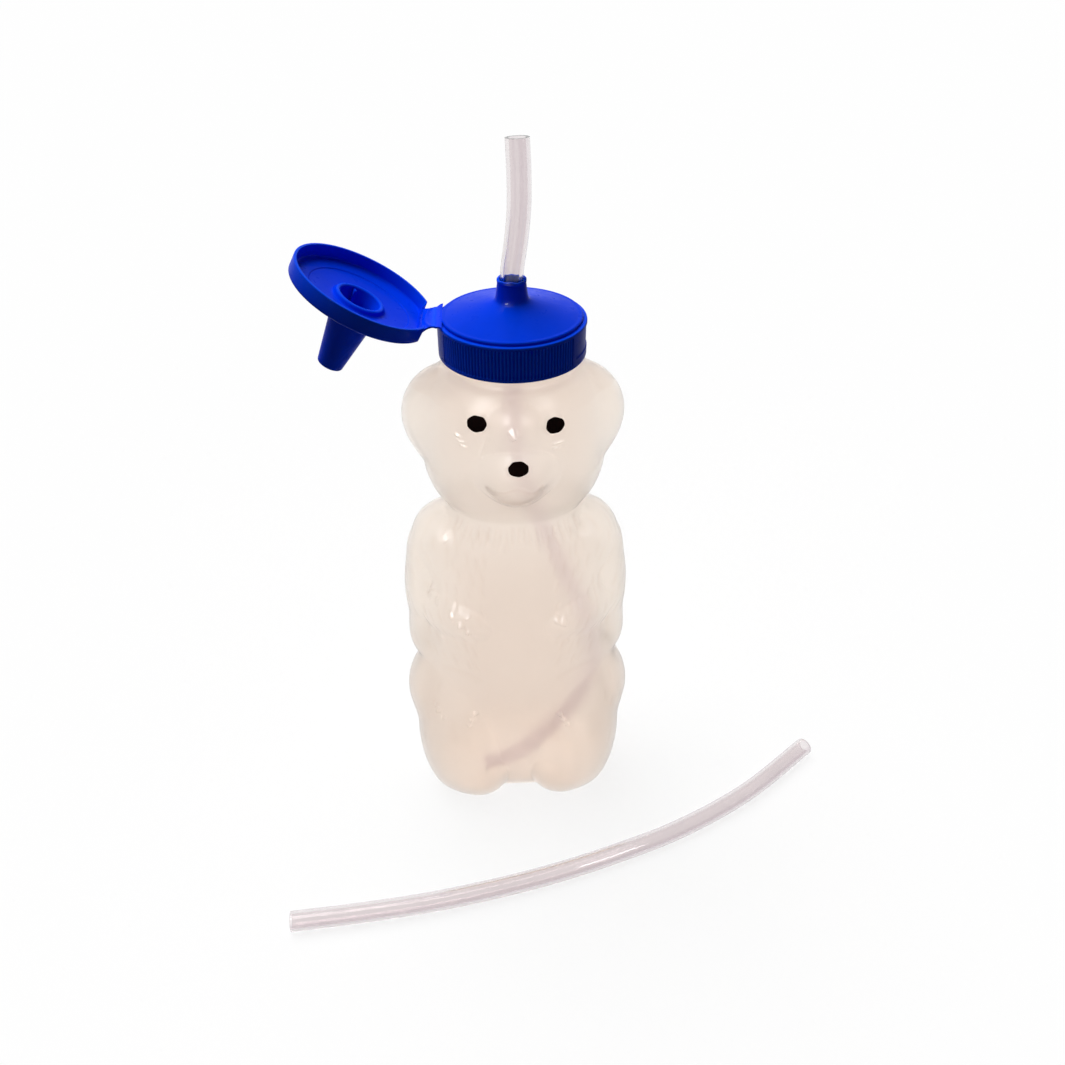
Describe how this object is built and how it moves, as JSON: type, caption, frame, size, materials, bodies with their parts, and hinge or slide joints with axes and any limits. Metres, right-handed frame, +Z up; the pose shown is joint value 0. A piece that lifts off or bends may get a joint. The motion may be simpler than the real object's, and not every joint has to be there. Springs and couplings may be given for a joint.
{
  "type": "bear-shaped straw cup",
  "caption": "Bear-shaped milky squeeze bottle with a blue ribbed screw cap, hinged flip lid with a spout cover, a clear flexible drinking straw through the spout, and a loose spare straw.",
  "frame": {"origin": "centre of the bottle's flat bottom, on the axis of the neck", "axes": "+Z up along the neck's axis, -Y the way the bear looks, -X the side on which the open lid hangs"},
  "size_m": [0.1822, 0.1002, 0.2168],
  "materials": {
    "milky_plastic": "milky translucent, smooth",
    "dark_ink": "printed ink",
    "white_foam": "foamed liner",
    "blue_plastic": "satin moulded",
    "thin_blue_plastic": "thin, lets light through",
    "clear_tubing": "clear flexible tubing"
  },
  "bodies": {
    "bottle": {"bottle_shell": "milky_plastic", "bottle_neck": "milky_plastic", "left_eye_print": "dark_ink", "right_eye_print": "dark_ink", "nose_print": "dark_ink"},
    "gasket": {"neck_gasket": "white_foam"},
    "cap": {"cap_base": "blue_plastic", "hinge_strap": "thin_blue_plastic"},
    "lid": {"flip_lid": "blue_plastic"},
    "straw": {"drinking_straw": "clear_tubing"},
    "spare": {"spare_straw": "clear_tubing"}
  },
  "joints": [
    {"name": "cap_lift", "type": "slide", "parent": "bottle", "child": "gasket", "axis": [0, 0, 1], "range_m": [0, 0.0116]},
    {"name": "cap_turn", "type": "hinge", "parent": "gasket", "child": "cap", "pos_m": [0, 0, 0.1665], "axis": [0, 0, 1], "range_deg": [0, 987]},
    {"name": "lid_hinge", "type": "hinge", "parent": "cap", "child": "lid", "pos_m": [-0.0201, 0, 0.1718], "axis": [0, -1, 0], "range_deg": [-80, 34], "deforming": ["hinge_strap"]},
    {"name": "straw_slide", "type": "slide", "parent": "gasket", "child": "straw", "axis": [0, 0, 1], "range_m": [0, 0.015]},
    {"name": "spare_straw_lift", "type": "slide", "parent": "bottle", "child": "spare", "axis": [0, 0, 1], "range_m": [0, 0.12]}
  ],
  "couplings": [
    {"joint": "cap_lift", "follows": "cap_turn", "m_per_rad": 0.00067322}
  ]
}
